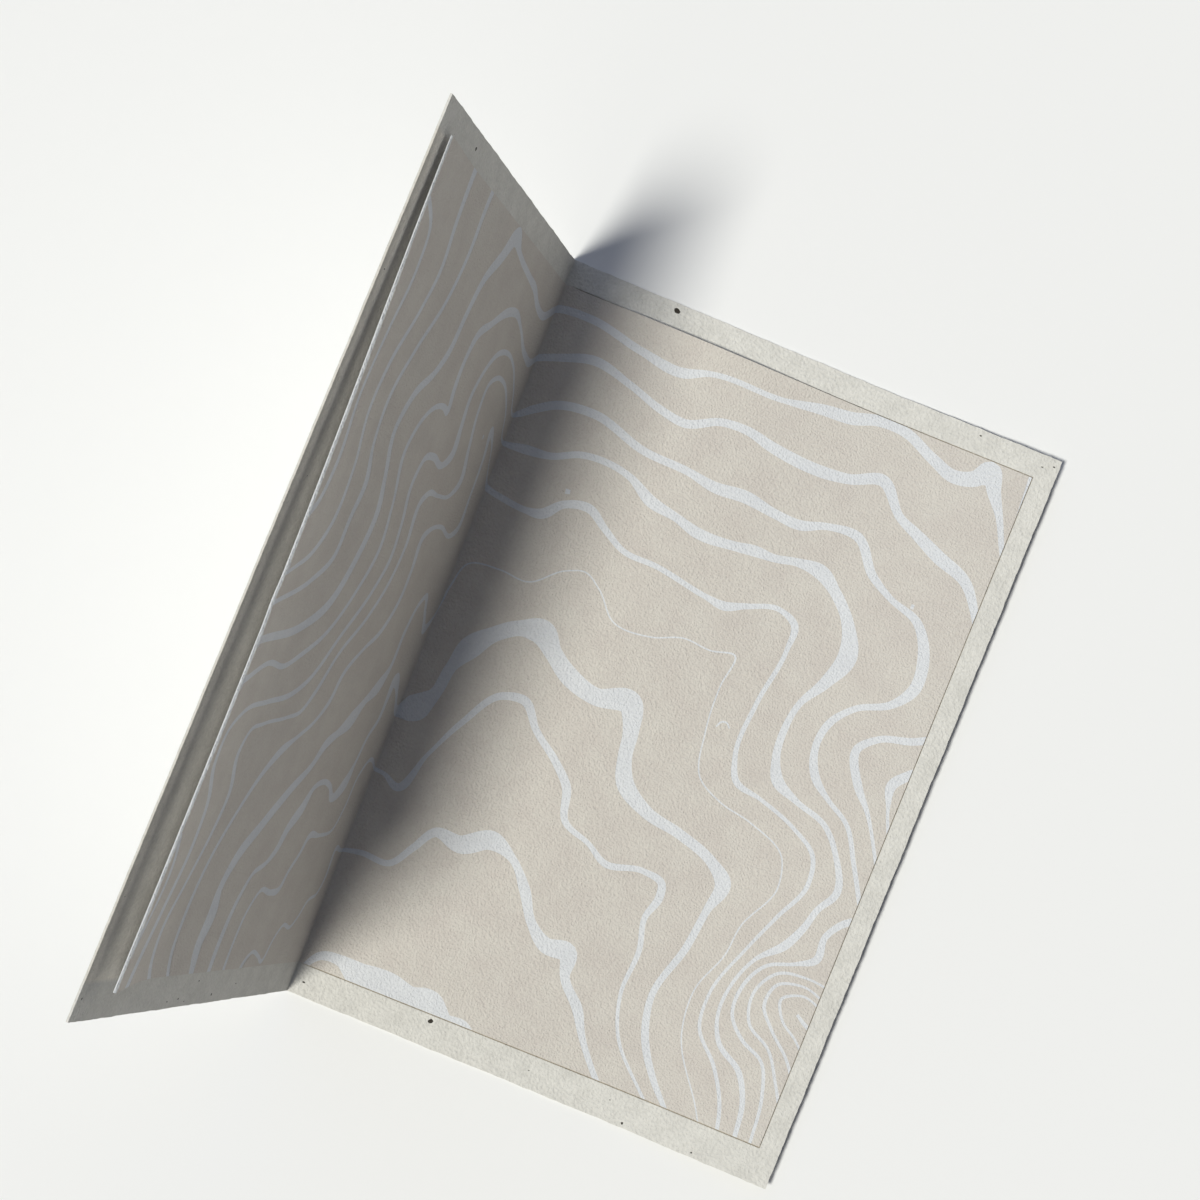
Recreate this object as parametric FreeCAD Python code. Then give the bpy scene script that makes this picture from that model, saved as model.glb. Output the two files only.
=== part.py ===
import FreeCAD, Part
import math
import os

# An opened greeting card, in millimetres. It lies on its back panel and its front panel stands up
# from the fold. The fold runs along Y, the back panel reaches towards +X, and +Z is up.
# Three nodes: the folded board, the folded liner sheet inside it, and the print on the liner.

# Board
PANEL_LENGTH = 192.0          # along the fold
PANEL_WIDTH = 128.0           # from the fold to a free edge
BOARD_THICKNESS = 0.5
STANDING_ANGLE = 76.4         # degrees between the table and the front panel

# Liner
LINER_THICKNESS = 0.2
LINER_CREASE_RADIUS = 0.3     # inside the fold
LINER_TOP_MARGIN = 6.5        # bare board beyond the liner's top edge
LINER_BOTTOM_MARGIN = 7.7
LINER_SIDE_MARGIN = 5.4       # bare board beyond the liner's free edges

# Print
INK_THICKNESS = 0.05
SAMPLE_STEP = 1.5             # spacing of the points worked out along a contour line
OUTLINE_TOLERANCE = 0.14      # how far a printed outline may stray when its points are thinned
SMALLEST_PATCH = 2.0          # square millimetres; smaller patches of ink are left bare

# Contour map: bare lines across the ink, each run smoothly through hand-placed points of
# (across from the fold, up from the bottom edge, width of the line).
# The map is drawn for panels of this size, and stretches with the panels.
MAP_PANEL_WIDTH = 128.0
MAP_PANEL_LENGTH = 192.0
CONTOUR_LINES = (
    # Lines that cross the fold, from the top one down
    ((-126, 74, 1.4), (-110, 77.5, 1.8), (-91, 82, 2.2), (-79, 89.5, 3), (-74.5, 99, 3), (-73, 111, 3),
     (-77, 118, 2.2), (-82.8, 128, 2.4), (-80, 136.5, 2.6), (-72, 144, 2.4), (-68.5, 149.5, 2.8),
     (-67, 159, 2.6), (-64.5, 168.5, 3), (-58.5, 176, 4), (-53.5, 182.5, 5), (-47.5, 180.5, 2),
     (-33, 178.3, 1.8), (-25, 177.3, 2.2), (-18, 174.8, 2), (-10, 174.2, 2.2), (-3, 177.5, 2.4),
     (0, 179, 2), (9, 180, 2), (23, 177.5, 2), (35, 176.5, 2.6), (40, 178.5, 1.6), (60, 179.8, 1.4),
     (70, 181.5, 2.8), (77, 182.3, 3.2), (83, 184.2, 2.8), (90, 184.2, 2.6), (99, 180.5, 2.8),
     (105, 178.5, 3.4), (110, 180, 4), (112.7, 183.2, 4.8), (115.5, 178.5, 3.4), (118.5, 174, 2),
     (122.5, 166, 1.4), (127, 158, 1.4)),
    ((-126, 62, 1.4), (-110, 69.5, 1.5), (-101, 73.2, 1.3), (-92, 73.3, 1.3), (-84, 76.8, 1.5),
     (-74, 82.8, 1.5), (-66, 93, 1.6), (-61.7, 104, 2), (-65, 114, 1.5), (-71, 126, 2), (-69, 132, 1.7),
     (-62.5, 137.7, 1.5), (-57, 139, 1.6), (-53, 138.8, 2.2), (-54.5, 143.5, 2.6), (-55.3, 151, 2.4),
     (-53.5, 157.5, 2.8), (-47, 162, 2.2), (-38, 167.5, 2.6), (-31, 169, 2), (-24, 167.2, 1.2),
     (-14, 163.3, 1.8), (-6, 163, 2.2), (0, 166, 1.8), (6, 168.5, 2), (13, 170.8, 2.4), (24, 168.7, 1.8),
     (33, 166, 2), (39.5, 165.2, 2.2), (48, 169, 2), (54, 169.5, 2.2), (62, 168, 2.8), (76, 167.3, 3),
     (82, 168.2, 2.6), (89.5, 171, 3), (97, 164, 2.2), (102, 161.8, 2.8), (109, 158.6, 3.4),
     (117, 155.5, 2.8), (122.5, 148.5, 2), (127, 140, 2)),
    ((-105.8, 1, 1.8), (-106, 9, 1.8), (-104, 22, 1.6), (-102, 35, 1.6), (-103.3, 44, 1.6),
     (-108.5, 53, 1.5), (-108.3, 59, 1.3), (-104, 62.8, 1.2), (-93, 65.5, 1.2), (-80, 68.5, 1.5),
     (-73.5, 72, 1.6), (-64, 83.5, 1.6), (-55, 95, 1.7), (-51.7, 103, 2), (-53.5, 111, 1.8),
     (-57.5, 120.5, 2), (-55.5, 126.8, 2), (-50, 128.2, 1.8), (-42, 127.7, 1.8), (-37.5, 131.5, 3.4),
     (-39, 138, 2.6), (-40.7, 145, 2.2), (-38.5, 152, 1.8), (-34, 157.5, 1.8), (-24, 160, 1.2),
     (-18, 158.5, 1), (-10, 153.8, 1), (-3, 150.5, 1), (0, 151, 1.4), (4, 154, 2), (9, 157.2, 2.2),
     (18, 158.7, 2.2), (33, 155, 2), (45, 154.5, 2), (52, 153.5, 2.8), (60, 154.2, 3.2), (68, 153.2, 2.4),
     (75, 153, 2.6), (81, 155.2, 1.8), (89, 155.8, 2.4), (96, 148.2, 2.2), (102, 144.7, 1.6),
     (110, 141.8, 2.2), (115, 133.5, 3), (115.5, 126, 3), (112, 120.8, 2), (104, 116.3, 1.6),
     (99.5, 110.5, 1.9), (98.6, 104.5, 1.8), (101.5, 97, 2.2), (106, 93.4, 1.3), (112.5, 89.5, 1.2),
     (118, 81, 1.2), (123, 72.5, 1.2), (127, 66, 1.2)),
    ((-91.5, 2, 1.6), (-95, 6.5, 1.6), (-98.7, 12.5, 1.4), (-99.8, 18, 1.4), (-97, 28, 1.3),
     (-94, 38, 1.5), (-93.3, 46, 1.7), (-97.5, 55, 1.6), (-96, 59, 1.2), (-90, 61, 0.9), (-77, 63.5, 0.9),
     (-70, 65.5, 1.3), (-66, 70, 1.8), (-61, 79, 1.5), (-51, 89.5, 1.5), (-46, 98, 1.7), (-44.5, 107, 1.8),
     (-46.3, 118, 2.4), (-43, 120.6, 1.8), (-36, 121.3, 1), (-28, 123, 1.4), (-24.3, 127, 2.6),
     (-27.5, 135, 1.9), (-31.3, 144.5, 1.7), (-31.3, 150.5, 1.7), (-27, 153.4, 1.4), (-20.5, 153.7, 1.2),
     (-10, 148.5, 1), (-3, 143.7, 1), (0, 143.5, 1.2), (6, 144.2, 2.4), (12, 145, 1.8), (19, 148.2, 1.7),
     (32, 147.8, 1.8), (39, 144.2, 3), (46, 143, 2.2), (52, 141.5, 2.8), (62, 142, 2.4), (67, 142.8, 2.8),
     (72, 143, 2), (78, 144.3, 2.2), (84, 144.2, 3.8), (89, 141, 2.8), (95, 134.5, 3.2), (97.6, 127.5, 4.8),
     (95, 119.5, 3), (91, 112, 1.6), (90, 105, 1.8), (91, 97, 2.2), (93, 93, 3), (99, 90, 1.6),
     (108, 87, 1.4), (113, 81.5, 1.4), (116.7, 72.5, 1.9), (114, 67.5, 1.6), (112.5, 62, 1.8),
     (110, 56.5, 2.2), (104.5, 50.5, 1), (101.3, 42, 0.9), (101, 35, 0.9), (104, 28, 1.3), (111, 23.3, 1.5),
     (114.5, 17, 1.4), (116, 8.5, 1.2), (116.5, 1, 1.2)),
    ((-81, 1, 1.3), (-85, 6.5, 1.4), (-89, 13, 1.5), (-90.2, 21, 1.6), (-89, 32, 1.5), (-84.5, 42, 1.5),
     (-78, 51.5, 2), (-73, 56, 2.6), (-66, 59.8, 1.3), (-58, 64.5, 1.3), (-53.8, 69.5, 2), (-52.5, 75, 1.9),
     (-45.5, 82, 1.3), (-38, 87.5, 1.8), (-33.7, 96, 1.8), (-33.7, 103, 1.8), (-34.8, 111.2, 2.4),
     (-31, 114, 1.4), (-25, 115.5, 1.2), (-17, 114.7, 1.4), (-12.3, 117.5, 2.4), (-12.7, 126, 1.6),
     (-14, 136, 1.8), (-16, 142.3, 2.4), (-11, 139.5, 1.2), (-5, 135, 0.9), (0, 132, 1.6), (6, 130.8, 1.6),
     (11, 130.4, 1.6), (15, 131, 2.6), (19.5, 135.3, 2), (25.5, 136.8, 2.3), (31, 133.6, 1.8),
     (37, 130.4, 1.5), (46, 130, 1.4), (60, 127.8, 1.4), (65, 127.4, 2.3), (70, 129.4, 1.5),
     (78, 131.8, 1.3), (82.7, 129.8, 1.9), (83.3, 123, 1.2), (81.3, 108, 1.2), (81.4, 94, 1.3),
     (83.8, 88.8, 1.7), (91, 87, 1), (101, 83.6, 1), (108, 79, 1.2), (109.5, 72, 1.2), (105.5, 62, 1),
     (101.5, 52, 0.8), (97.2, 38, 0.8), (98, 30, 0.9), (105, 22, 1), (110, 13, 1), (111.5, 7, 1),
     (112, 1, 1)),
    ((-71, 1, 2), (-72.5, 7.5, 2.6), (-75, 14.5, 4.2), (-74.4, 20, 5.2), (-75.8, 26, 3.2), (-73.5, 32.5, 3.8),
     (-66, 40, 3.4), (-56, 48.8, 3), (-48.3, 54.8, 2.4), (-45, 59.5, 3.2), (-40, 62.5, 2.6),
     (-34, 66.5, 4.8), (-29.5, 71.5, 2.6), (-24.5, 75.7, 4.2), (-21.8, 80, 2.2), (-21.3, 90, 1.8),
     (-19, 97, 1.6), (-16.3, 99.3, 1.8), (-12, 95.5, 1.6), (-7, 92.7, 2.6), (-3, 95.5, 1.8), (0, 100, 0.7),
     (1, 106, 0.5), (3, 112.8, 0.4), (11, 114.5, 0.4), (18, 114.3, 0.4), (26, 120.5, 0.4), (30.5, 122, 0.4),
     (35, 119.5, 0.4), (41.5, 113.2, 0.4), (51, 113.4, 0.4), (59, 116.3, 0.4), (66, 116, 0.4),
     (72, 117.2, 0.5), (71.5, 109, 0.4), (72.3, 97, 0.4), (75.5, 86, 0.4), (82, 82.6, 0.4), (91, 80.7, 0.4),
     (101, 76, 0.4), (103, 69, 0.4), (98, 56, 0.4), (97.3, 49, 0.4), (93.5, 38, 0.4), (94.5, 27, 0.4),
     (105, 10, 0.4), (110, 1, 0.4)),
    ((-62, 1, 2.2), (-62, 7, 2.2), (-62.7, 13, 2.4), (-61.7, 24, 2), (-59, 29.3, 1.5), (-53, 32, 1.6),
     (-49.7, 35, 2.6), (-47.7, 40, 3.4), (-43.5, 44.7, 4), (-41, 49.5, 2), (-36, 51.3, 1.5),
     (-30, 50.4, 1.4), (-26, 48, 2.2), (-21, 51.5, 4.2), (-19.3, 57, 1.6), (-17.7, 64, 1.5), (-15, 68, 1.8),
     (-14.7, 73, 2.4), (-14.5, 78, 3.8), (-8, 75.5, 1.8), (-2, 73, 2.6), (4, 75.5, 6.5), (7, 80, 3.2),
     (8.5, 88, 2.8), (11, 94, 5.5), (15.5, 99.5, 3.8), (21, 103.3, 4), (26, 104.3, 6.4), (30.5, 100.7, 4.4),
     (36, 97, 4.8), (44, 94.8, 4.4), (52.5, 96.5, 6), (55.3, 90, 4), (56.2, 84, 3.6), (58.5, 78.2, 4.4),
     (66, 73.5, 3.2), (76, 71.5, 2.6), (86, 68, 2.8), (90.2, 64.5, 4), (89, 57, 2), (87.8, 47, 1.9),
     (84.3, 32, 1.7), (86.5, 22.5, 2), (92.5, 13, 1.7), (98, 7, 1.2), (102, 2, 1.2)),
    ((-52, 1, 1.6), (-52.8, 7, 1.6), (-53.5, 13, 1.4), (-52.3, 22, 1.3), (-49.5, 25.5, 1.2), (-42, 25.2, 1.5),
     (-37, 26, 1.9), (-35.5, 30, 1.5), (-32.5, 34.5, 1.5), (-31, 38.3, 2), (-24, 38.9, 1), (-16, 40.8, 1),
     (-13.9, 46, 1), (-13, 54, 1.1), (-9.5, 58.2, 1.2), (-5, 59.2, 1.2), (-1, 58, 1), (3, 57.6, 1.1),
     (6.5, 55.8, 2), (11, 66, 1), (16, 76.5, 1.5), (23, 86.3, 1.9), (28.3, 87.2, 2.3), (33.5, 81.7, 1.8),
     (41, 76.2, 2), (45.5, 71.8, 2.3), (48.5, 63.7, 1.7), (56, 60.8, 1.3), (61, 58, 1.7), (71, 59.8, 1.5),
     (76.3, 58.6, 2), (77, 55.5, 2.1), (75.5, 49.5, 1.5), (77.2, 42, 1.4), (77, 30, 1), (80, 20.5, 0.9),
     (90.5, 9, 0.8), (96, 4, 0.8)),
    ((-42, 2, 1.8), (-41.3, 9, 1.7), (-38.5, 11.2, 1.1), (-33, 10.3, 1), (-29, 8.8, 1.2), (-26.5, 14.5, 1),
     (-24, 17.2, 1), (-18, 16.8, 1), (-15.5, 19, 1), (-13, 23, 1), (-8, 25, 1), (-6.3, 28.5, 1.2),
     (-6.8, 36.5, 1.6), (-2, 36.5, 1), (5, 37.8, 1.4), (12, 38, 1.6), (16, 43.5, 1.8), (20, 49.3, 2.4),
     (26.5, 48.8, 4.4), (33.5, 52.6, 4.8), (40, 50.3, 2), (45.5, 44.5, 2.8), (50, 37.8, 2.4), (55.5, 34, 4),
     (61, 34.3, 4.8), (62.7, 28.5, 2.4), (68.5, 22.3, 2.7), (72, 16.5, 1.8), (78.5, 8.5, 1.5), (84, 3, 1.4)),
    # Lines of the back page only
    ((1, 6, 1), (5, 11, 2.2), (10, 11.5, 3), (15, 9.8, 6.6), (23, 9.5, 8), (29, 8.8, 7), (34, 9.2, 8),
     (38, 7, 5), (44, 8, 2.2), (48, 5, 1.5)),
    ((127, 118, 2), (120, 114.3, 1.9), (112, 111.5, 1.7), (108.2, 107.5, 2.1), (111.5, 99.5, 2.2),
     (116, 94.3, 1.2), (123, 83, 0.9), (127, 76, 0.9)),
    ((127, 110, 2), (122, 106, 2.4), (119.3, 102.5, 2.6), (120.5, 97, 1), (126, 85, 0.8)),
    ((127, 70, 2), (121, 66.5, 1.8), (118.2, 62, 1.6), (118.3, 56, 2), (114, 53.2, 1), (107.5, 50, 0.9),
     (104, 43, 1), (104.3, 36, 0.9), (109, 31, 1), (115, 28, 0.9), (118.5, 20, 0.9), (120, 9, 0.8),
     (120.5, 1, 0.8)),
    ((127, 50, 0.6), (118, 51, 0.6), (111, 49.5, 0.8), (107.2, 43, 0.8), (109, 35.5, 0.8), (115.5, 31.5, 0.8),
     (120.5, 24, 0.8), (126, 14, 0.8)),
    ((127, 46, 0.6), (117.5, 48.8, 0.6), (111.7, 46.7, 0.8), (110.7, 41, 0.9), (114.5, 36.3, 0.8),
     (120.5, 31, 0.8), (126, 23, 0.8)),
    ((127, 44, 0.6), (118, 46.5, 0.6), (114, 44, 0.8), (116, 39.5, 0.7), (121, 36, 0.6), (126, 31, 0.6)),
    ((127, 38.5, 0.8), (121.5, 40.5, 1), (119, 42, 0.8)),
    ((74.2, 99.3, 0.4), (75.2, 101, 0.5), (76.5, 101.1, 0.5), (77.4, 100.1, 0.4)),
    # Lines of the front page only
    ((-98.5, 190, 3), (-98.3, 184, 2.8), (-97, 173, 2.2), (-94.6, 162, 1.9), (-97, 152, 1.6),
     (-102.5, 138, 1.8), (-103.2, 128, 1.6), (-98.3, 116, 1.5), (-97.7, 104, 1.8), (-103, 96, 1.5),
     (-109, 92.5, 1.1), (-126, 84, 1)),
    ((-82.2, 190, 2.8), (-82.2, 180, 2.4), (-81.3, 170, 2), (-83.5, 157.5, 1.8), (-90, 145, 1.6),
     (-94.3, 132, 1.8), (-92.3, 122.5, 1.6), (-87.4, 114.3, 2.6), (-88.2, 107, 2.2), (-88.5, 98, 2),
     (-96, 91.7, 1.5), (-110, 85.5, 1.2), (-126, 80, 1)),
    ((-126, 173, 1.8), (-118, 170.5, 1.7), (-111, 166.5, 1.6), (-109, 158, 1.6), (-111, 143, 1.4),
     (-112, 129, 1.4), (-109.2, 114, 1.8), (-111, 105.5, 1.8), (-118, 100, 1.4), (-126, 96, 1.4)),
    ((-126, 50, 1), (-113, 42, 1), (-108.3, 32, 1.2), (-110, 18, 1), (-113, 6, 1), (-114, 1, 1)),
    # Dots
    ((18.6, 138.5, 1.3), (19.8, 138.7, 1.1)),
    ((107.2, 144.9, 1.2), (108, 144.9, 1.2)),
    ((-21, 139.6, 1.2), (-20, 139.7, 1)),
)

# What follows from the sizes above
BEND = math.radians(STANDING_ANGLE)
CREASE_RADIUS = LINER_CREASE_RADIUS + LINER_THICKNESS
CREASE_HALF = (CREASE_RADIUS + BOARD_THICKNESS / 2) * BEND / 2
PANEL_RUN = PANEL_WIDTH - CREASE_HALF
LINER_RUN = PANEL_RUN - LINER_SIDE_MARGIN
TOP_OF_PAGE = BOARD_THICKNESS + LINER_THICKNESS
CREASE_HEIGHT = TOP_OF_PAGE + LINER_CREASE_RADIUS

# The fold is placed so that the middle of the whole card's box is over the origin
LEFT_REACH = (CREASE_RADIUS + BOARD_THICKNESS) * math.sin(BEND) + PANEL_RUN * math.cos(BEND)
CREASE_X = (LEFT_REACH - PANEL_RUN) / 2
CREASE_AXIS = FreeCAD.Vector(CREASE_X, 0, CREASE_HEIGHT)
ALONG_FOLD = FreeCAD.Vector(0, 1, 0)


def across(radius, turn, run=0.0):
    """A point of the section: out from the crease axis by radius, turned by turn, then run on."""
    x = CREASE_X - radius * math.sin(turn) - run * math.cos(turn)
    z = CREASE_HEIGHT - radius * math.cos(turn) + run * math.sin(turn)
    return FreeCAD.Vector(x, 0, z)


def folded_sheet(inner_radius, thickness, run, low, high):
    """A creased sheet: two flat panels of one run joined by an arc, from low to high along Y."""
    outer_radius = inner_radius + thickness
    flat = FreeCAD.Vector(run, 0, 0)
    inner_free = across(inner_radius, 0) + flat
    outer_free = across(outer_radius, 0) + flat
    inner_top = across(inner_radius, BEND, run)
    outer_top = across(outer_radius, BEND, run)

    def straight(start, end):
        return Part.LineSegment(start, end).toShape()

    def arc(radius):
        return Part.Arc(across(radius, 0), across(radius, BEND / 2), across(radius, BEND)).toShape()

    outline = Part.Wire([
        straight(inner_free, across(inner_radius, 0)),
        arc(inner_radius),
        straight(across(inner_radius, BEND), inner_top),
        straight(inner_top, outer_top),
        straight(outer_top, across(outer_radius, BEND)),
        arc(outer_radius),
        straight(across(outer_radius, 0), outer_free),
        straight(outer_free, inner_free),
    ])
    sheet = Part.Face(outline).extrude(ALONG_FOLD * (high - low))
    sheet.translate(ALONG_FOLD * low)
    return sheet


def smooth_line(points):
    """Points spaced along the curve through some points, on a cubic between each two of them.

    Each point's slope is the mean of the slopes on its two sides, the nearer one counting more."""
    spans = [math.hypot(b[0] - a[0], b[1] - a[1]) for a, b in zip(points, points[1:])]
    rates = [
        [(q - p) / span for p, q in zip(a, b)]
        for a, b, span in zip(points, points[1:], spans)
    ]
    slopes = [rates[0]]
    for k in range(1, len(spans)):
        before, after = spans[k - 1], spans[k]
        slopes.append([
            (p * after + q * before) / (before + after)
            for p, q in zip(rates[k - 1], rates[k])
        ])
    slopes.append(rates[-1])
    line = []
    for k, span in enumerate(spans):
        start, end = points[k], points[k + 1]
        count = max(2, math.ceil(span / SAMPLE_STEP))
        for i in range(count):
            t = i / count
            rise = t * t * (3 - 2 * t)
            leave, arrive = t * (1 - t) ** 2 * span, t * t * (t - 1) * span
            u, v, width = (
                p + (q - p) * rise + leave * m + arrive * n
                for p, q, m, n in zip(start, end, slopes[k], slopes[k + 1])
            )
            narrow, wide = sorted((start[2], end[2]))
            line.append((u, v, min(max(width, narrow), wide)))
    return line + [points[-1]]


def thinned(points):
    """The points of an open line that keep it within the outline tolerance, without its last one."""
    (x0, y0), (x1, y1) = points[0], points[-1]
    length = math.hypot(x1 - x0, y1 - y0)

    def stray(point):
        return abs((x1 - x0) * (point[1] - y0) - (y1 - y0) * (point[0] - x0)) / length

    if len(points) < 3:
        return [points[0]]
    far = max(range(1, len(points) - 1), key=lambda k: stray(points[k]))
    if stray(points[far]) < OUTLINE_TOLERANCE:
        return [points[0]]
    return thinned(points[:far + 1]) + thinned(points[far:])


def band_outline(points):
    """The closed outline of a contour line: up its left side and back down its right side.

    On the inside of a tight bend, points that the bend carries into the line itself are dropped."""
    across_map = PANEL_WIDTH / MAP_PANEL_WIDTH
    up_map = PANEL_LENGTH / MAP_PANEL_LENGTH
    line = smooth_line([(u * across_map, v * up_map, width) for u, v, width in points])
    outline = []
    for side in (1, -1):
        edge = []
        for k, (u, v, width) in enumerate(line):
            before, after = line[max(k - 1, 0)], line[min(k + 1, len(line) - 1)]
            du, dv = after[0] - before[0], after[1] - before[1]
            out = side * width / 2 / math.hypot(du, dv)
            spot = (u - dv * out, v + du * out)
            near = line[max(k - 6, 0):k + 7]
            if all(math.dist(spot, other[:2]) > 0.48 * other[2] for other in near):
                edge.append(spot)
        if side < 0:
            edge.reverse()
        outline += thinned(edge) + [edge[-1]]
    return outline


def page_prints(side):
    """The fields of ink on one page, lying flat at the height of the page's surface.

    side is 1 for the back panel's page and -1 for the front panel's, which is still unfolded."""

    def flat_face(corners):
        spots = [
            FreeCAD.Vector(CREASE_X + u - side * CREASE_HALF, v - PANEL_LENGTH / 2, TOP_OF_PAGE)
            for u, v in corners
        ]
        return Part.Face(Part.makePolygon(spots + spots[:1]))

    near, far = side * CREASE_HALF, side * (CREASE_HALF + LINER_RUN)
    low, high = LINER_BOTTOM_MARGIN, PANEL_LENGTH - LINER_TOP_MARGIN
    page = flat_face([(near, low), (far, low), (far, high), (near, high)])
    outlines = [band_outline(points) for points in CONTOUR_LINES]
    lines = [flat_face(outline) for outline in outlines if max(side * u for u, v in outline) > 0]
    fields = [field for field in page.cut(lines).Faces if field.Area > SMALLEST_PATCH]
    return [field.extrude(FreeCAD.Vector(0, 0, INK_THICKNESS)) for field in fields]


def outer_card():
    half = PANEL_LENGTH / 2
    return folded_sheet(CREASE_RADIUS, BOARD_THICKNESS, PANEL_RUN, -half, half)


def liner_sheet():
    low = LINER_BOTTOM_MARGIN - PANEL_LENGTH / 2
    high = PANEL_LENGTH / 2 - LINER_TOP_MARGIN
    return folded_sheet(LINER_CREASE_RADIUS, LINER_THICKNESS, LINER_RUN, low, high)


def contour_print():
    """The printed fields between the bare contour lines, on both pages."""
    standing = page_prints(-1)
    for patch in standing:
        patch.rotate(CREASE_AXIS, ALONG_FOLD, STANDING_ANGLE)
    return Part.makeCompound(page_prints(1) + standing)


os.makedirs("parts", exist_ok=True)
outer_card().exportStep("parts/outer_card.step")
liner_sheet().exportStep("parts/liner_sheet.step")
contour_print().exportStep("parts/contour_print.step")
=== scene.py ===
import math

import bpy
import numpy as np
from mathutils import Matrix, Vector
from mathutils.geometry import delaunay_2d_cdt


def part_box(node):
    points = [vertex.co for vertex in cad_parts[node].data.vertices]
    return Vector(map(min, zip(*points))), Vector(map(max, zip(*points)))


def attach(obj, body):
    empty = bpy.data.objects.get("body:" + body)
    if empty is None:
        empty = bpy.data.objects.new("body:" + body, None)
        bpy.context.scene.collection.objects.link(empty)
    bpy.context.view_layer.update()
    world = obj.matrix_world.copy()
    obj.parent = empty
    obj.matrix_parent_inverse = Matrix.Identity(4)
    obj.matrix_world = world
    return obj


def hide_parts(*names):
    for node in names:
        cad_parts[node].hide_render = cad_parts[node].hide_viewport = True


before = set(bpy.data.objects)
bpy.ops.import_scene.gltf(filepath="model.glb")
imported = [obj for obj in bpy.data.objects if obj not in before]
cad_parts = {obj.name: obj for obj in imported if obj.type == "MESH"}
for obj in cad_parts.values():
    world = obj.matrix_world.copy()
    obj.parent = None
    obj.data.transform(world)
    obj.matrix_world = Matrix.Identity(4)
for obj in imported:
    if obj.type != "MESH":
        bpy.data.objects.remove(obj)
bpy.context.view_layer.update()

# Millimetres are used for every size of the card, and turned to metres where a mesh is made
MM = 0.001

# The folded sheets, as the frame holds them
PANEL_LENGTH = 192.0
PANEL_WIDTH = 128.0
BOARD_THICKNESS = 0.5
STANDING_ANGLE = 76.4
LINER_THICKNESS = 0.2
LINER_CREASE_RADIUS = 0.3
LINER_TOP_MARGIN = 6.5
LINER_BOTTOM_MARGIN = 7.7
LINER_SIDE_MARGIN = 5.4

PAGE_HEIGHT = BOARD_THICKNESS + LINER_THICKNESS
CREASE_HEIGHT = PAGE_HEIGHT + LINER_CREASE_RADIUS
CREASE_HALF = (CREASE_HEIGHT - BOARD_THICKNESS / 2) * math.radians(STANDING_ANGLE) / 2
PAGE_WIDTH = PANEL_WIDTH - LINER_SIDE_MARGIN
HALF_LENGTH = PANEL_LENGTH / 2
PAGE_LOW = LINER_BOTTOM_MARGIN - HALF_LENGTH
PAGE_HIGH = HALF_LENGTH - LINER_TOP_MARGIN
# The back panel's free edge is the frame's far side, and the crease is one flat run back from it
CREASE_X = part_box("outer_card")[1].x / MM - (PANEL_WIDTH - CREASE_HALF)

# The printed skin, thinner than the frame's, with its underside just off the paper
INK_THICKNESS = 0.03
INK_UNDERSIDE = INK_THICKNESS / 4

# How far the hand-folded sheet strays from true
FOLD_SKEW = 1.9               # the fold's ends lie this far to either side
FOLD_TWIST = 0.67             # degrees that the front panel's two ends differ from its mean
BACK_CURL = 3.3               # rise of the back panel's free edge off the table
BACK_CURL_START = 62.0
PAGE_LIFT_TOP = 1.2           # how far the front page's free edge stands off the board at its top end
PAGE_LIFT = 3.45              # and how much farther at its bottom end
PAGE_LIFT_START = HALF_LENGTH - 2   # it grows from here down, over about this length
PAGE_LIFT_LENGTH = 72.0
PAGE_LIFT_POWER = 1.5
PAGE_CURL = 30.0              # width of the part of the front page that has come away
VIEW_SLOPE = 2.72             # how far the view from above runs along the front panel for 1 mm off it
RIM_ROLL_WIDTH = 0.9          # the front page's rim turns back towards the board over this width
RIM_ROLL_DEPTH = 0.55
RIM_ROLL_FULL_LIFT = 2.5      # in full where it stands off by this much, and less where it lies closer
RIM_DENT_PLACE = -7.0         # a small dent in the rim, along the fold
RIM_DENT_WIDTH = 3.0
RIM_DENT_DEPTH = 0.15
PAGE_RISE = 1.2               # the back page's bottom edge rises this far at its free end
PAGE_RISE_FADE = 25.0         # and the page above it less and less, over this distance
TOP_GAP = 2.3                 # the back page's top edge lifts off the board, in a bell across the page
TOP_GAP_PLACE = 36.0
TOP_GAP_WIDTH = 30.0
TOP_GAP_FADE = 7.0            # how fast it falls down the page
TOP_GAP_START = 20.0          # it grows from the fold over this width
LINE_WIDTH = 0.3              # pressed line in the board around the back page
LINE_DEPTH = 0.25
LINE_SLOPE = 0.1              # width of each of its two sides
LINE_START = 1.0              # it grows from this far past the fold
LINE_GROWTH = 3.0
BARE_RIM = 0.45               # unprinted paper along the front page's free edge
BARE_CORNER = 0.8             # unprinted sliver at the back page's top corner
BARE_CORNER_DROP = 11.0

# Ragged cut edges: waves of these lengths and sizes, which die out over this distance from the edge
RAGGED_LENGTHS = (31.0, 13.0, 6.1, 3.7, 2.3)
RAGGED_SIZES = (0.04, 0.03, 0.03, 0.03, 0.03)
RAGGED_REACH = 1.5

# Spacing of the points of the two sheets
CREASE_SPACING = 0.12
LINE_SPACING = 0.1
PANEL_SPACING = 1.8
LENGTH_SPACING = 1.0
SIDE_MARGIN_SPACING = 0.85
END_MARGIN_SPACING = 0.9
BOARD_RIM_SPACING = 0.75      # over this width at the front panel's free edge
BOARD_RIM_WIDTH = 3.0
PAGE_RIM_SPACING = 0.15       # in the rolled rim, and then the next one over this width beside it
RIM_SIDE_SPACING = 0.6
RIM_SIDE_WIDTH = 6.0
DENT_SPACING = 0.8            # over this length to each side of the dent
DENT_REACH = 6.0
LINER_SPACING = 1.6
PRINT_SPACING = 2.2
SHARP_ANGLE = 35.0            # degrees past which an edge is shaded as a sharp one

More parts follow.
